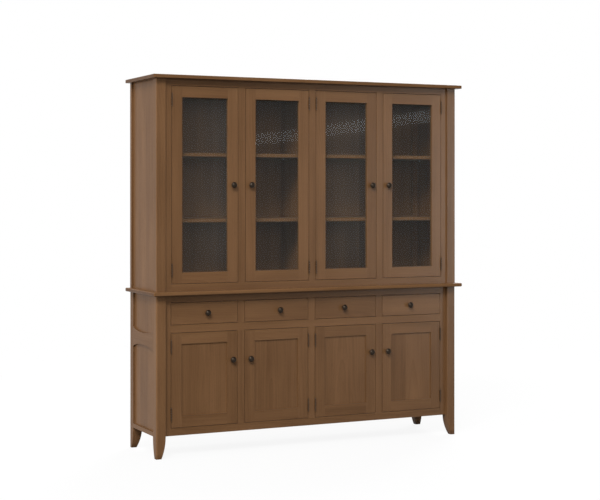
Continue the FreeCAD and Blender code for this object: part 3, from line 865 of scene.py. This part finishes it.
knobs = [node for node in subparts if node.endswith("_knob")]
low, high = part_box(knobs[0])
print("points on a knob's outline:", len(knob_outline((high.x - low.x) / 2, high.y - low.y)))

# %% Turn the knobs
RIM_WEAR = 0.2
WORN_FROM = 0.8                   # share of the radius outside which the bronze is rubbed


def knob(node):
    """Turns one knob, brighter near its rim."""
    low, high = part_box(node)
    radius, projection = (high.x - low.x) / 2, high.y - low.y
    solid = bmesh.new()
    centre = Vector(((low.x + high.x) / 2, high.y, (low.z + high.z) / 2))
    turned(solid, knob_outline(radius, projection), centre, Vector((0, -1, 0)))
    mesh = bpy.data.meshes.new(node)
    solid.to_mesh(mesh)
    mesh.shade_smooth()
    mesh.materials.append(bronze)
    rub = mesh.attributes.new("rubbed", "FLOAT", "POINT")
    for vertex, value in zip(mesh.vertices, rub.data):
        out = vertex.co - centre
        share = Vector((out.x, 0, out.z)).length / radius
        value.value = RIM_WEAR * max(0.0, share - WORN_FROM) / (1 - WORN_FROM)
    piece = add_object(node + "_turned", mesh)
    seat(piece, node)


for node in knobs:
    knob(node)
print("knobs:", len(knobs))

# %% [markdown]
# ## Hinges, catches and shelf pins
# These keep the shapes of the frame, with their sharp edges eased by a quarter of a millimetre so that
# they catch the light as stamped metal does. Each hinge pin gets a small ball at both ends.

# %% Ease the small hardware
SMALL_EASE = 0.25 * MM
HINGE_WEAR = 0.20                 # hinges are rubbed all over, as each swing of the door polishes them


def wear(mesh, amount):
    """The same rub at every point."""
    layer = mesh.attributes.new("rubbed", "FLOAT", "POINT")
    layer.data.foreach_set("value", [amount] * len(mesh.vertices))


def joined(node):
    """All solids of a node in one mesh."""
    whole = bmesh.new()
    for faces in solids_of(node):
        add_solid(whole, clean_solid(faces))
    mesh = bpy.data.meshes.new(node)
    whole.to_mesh(mesh)
    return mesh


small = [node for node in subparts if node.endswith("hinge_leaves")]
small += ["hinge_frame_leaves", "door_catches", "shelf_pins"]
for node in small:
    piece = eased(node + "_eased", joined(node), finishes[subparts[node]], lambda edge: SMALL_EASE)
    one_slot(piece)
    if subparts[node] == "dark_bronze":
        wear(piece.data, HINGE_WEAR)
    seat(piece, node)
print("eased hardware:", len(small))

# %% Balls on the hinge pins
TIP_RADIUS = 2.4 * MM

tips = bmesh.new()
pin_count = 0
for faces in solids_of("hinge_frame_leaves"):
    low, high = (Vector(corner) for corner in span(p for ring in faces for p in ring))
    if high.x - low.x < 2 * TIP_RADIUS:
        pin_count += 1
        middle = (low + high) / 2
        for end, axis in ((low.z, Vector((0, 0, -1))), (high.z, Vector((0, 0, 1)))):
            ball = arc((0, 0), TIP_RADIUS, -90, 90, 10)
            turned(tips, ball, Vector((middle.x, middle.y, end)), axis, segments=20)
tip_mesh = bpy.data.meshes.new("hinge_pin_tips")
tips.to_mesh(tip_mesh)
tip_mesh.shade_smooth()
tip_mesh.materials.append(bronze)
wear(tip_mesh, HINGE_WEAR)
tip_piece = add_object("hinge_pin_tips", tip_mesh)
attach(tip_piece, "case")
print("hinge pins:", pin_count)

# %% [markdown]
# ## Screws
# Every hinge leaf has three screws, each knob is held by one from behind, each catch by two, and the
# backs by a row round the edge. They are all one shape, so one Geometry Nodes tree makes them: it turns
# a cone into a head with a cross recess, sets a copy on each mark, turns each by a seeded random angle,
# and makes the copies real. A mark is a bare vertex that carries the direction in which its screw faces.

# %% Inputs of the screw maker
screw_tree = bpy.data.node_groups.new("screws on marks", "GeometryNodeTree")
for label, kind, value in (("Marks", "Geometry", None), ("Head Radius", "Float", 3 * MM),
                           ("Head Height", "Float", 1 * MM), ("Recess Width", "Float", 1 * MM),
                           ("Recess Depth", "Float", 0.5 * MM), ("Seed", "Int", 7),
                           ("Metal", "Material", None)):
    socket = screw_tree.interface.new_socket(label, in_out="INPUT", socket_type="NodeSocket" + kind)
    if value is not None:
        socket.default_value = value
screw_tree.interface.new_socket("Screws", in_out="OUTPUT", socket_type="NodeSocketGeometry")
print("inputs:", [item.name for item in screw_tree.interface.items_tree if item.in_out == "INPUT"])

# %% Screw head with a cross recess
CROWN_SHARE, ARM_SHARE = 0.78, 1.1         # of the head's radius

s = screw_tree
given = s.nodes.new("NodeGroupInput").outputs
crown = calc(s, "MULTIPLY", given["Head Radius"], CROWN_SHARE)
head = put(s, "GeometryNodeMeshCone",
           {"Vertices": 16, "Radius Top": crown, "Radius Bottom": given["Head Radius"],
            "Depth": given["Head Height"]}).outputs["Mesh"]
arm = calc(s, "MULTIPLY", given["Head Radius"], ARM_SHARE)
double = calc(s, "MULTIPLY", given["Recess Depth"], 2.0)
lift = put(s, "ShaderNodeCombineXYZ", {"Z": given["Head Height"]}).outputs[0]
slots = []
for sides in ({"X": arm, "Y": given["Recess Width"]}, {"X": given["Recess Width"], "Y": arm}):
    size = put(s, "ShaderNodeCombineXYZ", {**sides, "Z": double}).outputs[0]
    bar = put(s, "GeometryNodeMeshCube", {"Size": size}).outputs["Mesh"]
    slots.append(put(s, "GeometryNodeTransform", {"Geometry": bar, "Translation": lift}).outputs[0])
for bar in slots:
    cut = put(s, "GeometryNodeMeshBoolean", {"Mesh 1": head, "Mesh 2": bar}, operation="DIFFERENCE")
    head = cut.outputs["Mesh"]
print("screw head:", len(s.nodes), "nodes")

# %% Copies on the marks
facing = put(s, "GeometryNodeInputNamedAttribute", {"Name": "facing"}, data_type="FLOAT_VECTOR").outputs[0]
aimed = put(s, "FunctionNodeAlignRotationToVector", {"Vector": facing}, axis="Z").outputs[0]
angle = put(s, "FunctionNodeRandomValue", {"Seed": given["Seed"]}, data_type="FLOAT")
angle.inputs[3].default_value = math.tau
spin = put(s, "FunctionNodeAxisAngleToRotation", {"Axis": (0, 0, 1), "Angle": angle.outputs[1]}).outputs[0]
turn = put(s, "FunctionNodeRotateRotation", {0: aimed, 1: spin}, rotation_space="LOCAL").outputs[0]
copies = put(s, "GeometryNodeInstanceOnPoints",
             {"Points": given["Marks"], "Instance": head, "Rotation": turn})
real = put(s, "GeometryNodeRealizeInstances", {"Geometry": copies.outputs[0]}).outputs[0]
coated = put(s, "GeometryNodeSetMaterial", {"Geometry": real, "Material": given["Metal"]}).outputs[0]
s.links.new(coated, s.nodes.new("NodeGroupOutput").inputs["Screws"])
print("screw maker:", len(s.nodes), "nodes")


# %% Screws of one body
def screws(name, body, marks, slot, seed, **sizes):
    """One plain mesh of screws for a body. A mark is a place and a direction."""
    mesh = bpy.data.meshes.new(name + "_marks")
    mesh.from_pydata([place for place, _ in marks], [], [])
    layer = mesh.attributes.new("facing", "FLOAT_VECTOR", "POINT")
    layer.data.foreach_set("vector", [c for _, direction in marks for c in direction])
    piece = add_object(name, mesh)
    maker = piece.modifiers.new("screws", "NODES")
    maker.node_group = screw_tree
    wanted = {"Seed": seed, "Metal": finishes[slot], **sizes}
    for item in screw_tree.interface.items_tree:
        if item.in_out == "INPUT" and item.name in wanted:
            maker[item.identifier] = wanted[item.name]
    apply_modifiers(piece)
    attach(piece, body)
    return len(marks)


# %% Hinge screws
LEAF_GAP = 0.4 * MM
HINGE_HEAD = {"Head Radius": 2.9 * MM, "Head Height": 0.13 * MM, "Recess Width": 0.8 * MM,
              "Recess Depth": 0.1 * MM}
HINGE_SCREWS = ((-0.36, 0.66), (0.0, 0.36), (0.36, 0.66))   # shares of the leaf's height and depth
swings = {joint["child"]: joint for joint in frame["joints"] if joint["type"] == "hinge"}


def leaf_marks(door, side):
    """Marks on one leaf of both hinges of a door. side is 1 on the door's leaf and -1 on the frame's."""
    joint = swings[door]
    hand = -joint["axis"][2] * side
    x = joint["pos_m"][0] + hand * LEAF_GAP / 2
    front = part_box(next(n for n in bodies[door] if "frame" in n))[0].y
    marks = []
    for faces in solids_of(door + "_hinge_leaves"):
        low, high = span(p for ring in faces for p in ring)
        for up, back in HINGE_SCREWS:
            y = front + back * (high[1] - front)
            z = (low[2] + high[2]) / 2 + up * (high[2] - low[2])
            marks.append(((x, y, z), (-hand, 0, 0)))
    return marks


count = 0
frame_marks = []
for number, door in enumerate(swings):
    count += screws(door + "_hinge_screws", door, leaf_marks(door, 1), "dark_bronze",
                    seed=number, **HINGE_HEAD)
    frame_marks += leaf_marks(door, -1)
count += screws("frame_hinge_screws", "case", frame_marks, "dark_bronze", seed=50, **HINGE_HEAD)
print("hinge screws:", count)

# %% Knob screws
PAN_HEAD = {"Head Radius": 4.0 * MM, "Head Height": 1.8 * MM, "Recess Width": 1.2 * MM,
            "Recess Depth": 0.9 * MM}

count = 0
for number, node in enumerate(knobs):
    low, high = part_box(node)
    owner = body_of[node]
    board = next(n for n in bodies[owner] if n.endswith(("_frame", "_frame_and_panel", "_front")))
    mark = ((low.x + high.x) / 2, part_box(board)[1].y, (low.z + high.z) / 2)
    count += screws(owner + "_knob_screw", owner, [(mark, (0, 1, 0))], "pin_steel",
                    seed=100 + number, **PAN_HEAD)
print("knob screws:", count)

# %% Catch screws
SMALL_HEAD = {"Head Radius": 3.2 * MM, "Head Height": 1.4 * MM, "Recess Width": 1.0 * MM,
              "Recess Depth": 0.7 * MM}
CATCH_SCREWS = (0.22, 0.78)       # shares of the catch's height

catch_marks = []
for faces in solids_of("door_catches"):
    low, high = span(p for ring in faces for p in ring)
    for share in CATCH_SCREWS:
        z = low[2] + share * (high[2] - low[2])
        catch_marks.append((((low[0] + high[0]) / 2, high[1], z), (0, 1, 0)))
count = screws("catch_screws", "case", catch_marks, "pin_steel", seed=200, **SMALL_HEAD)
print("catch screws:", count)

# %% Back screws
BACK_PITCH = 150 * MM
BACK_INSET = 11 * MM
BACK_TONGUE = 8 * MM              # width of the sheet that is out of sight in each post


def edge_row(start, stop):
    """Even steps from start to stop, about one pitch apart."""
    steps = max(1, round((stop - start) / BACK_PITCH))
    return [start + (stop - start) * step / steps for step in range(steps + 1)]


back_marks = []
for node in sheets:
    low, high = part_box(node)
    inset = Vector((BACK_INSET + BACK_TONGUE, 0, BACK_INSET))
    low, high = low + inset, high - inset
    for x in edge_row(low.x, high.x):
        back_marks += [((x, high.y, z), (0, 1, 0)) for z in (low.z, high.z)]
    for z in edge_row(low.z, high.z)[1:-1]:
        back_marks += [((x, high.y, z), (0, 1, 0)) for x in (low.x, high.x)]
count = screws("back_screws", "case", back_marks, "pin_steel", seed=300, **SMALL_HEAD)
print("back screws:", count)

# %% [markdown]
# ## Size
# The box of the frame is printed.

# %% Finish
print("frame", [[round(c, 4) for c in corner] for corner in cad_box])
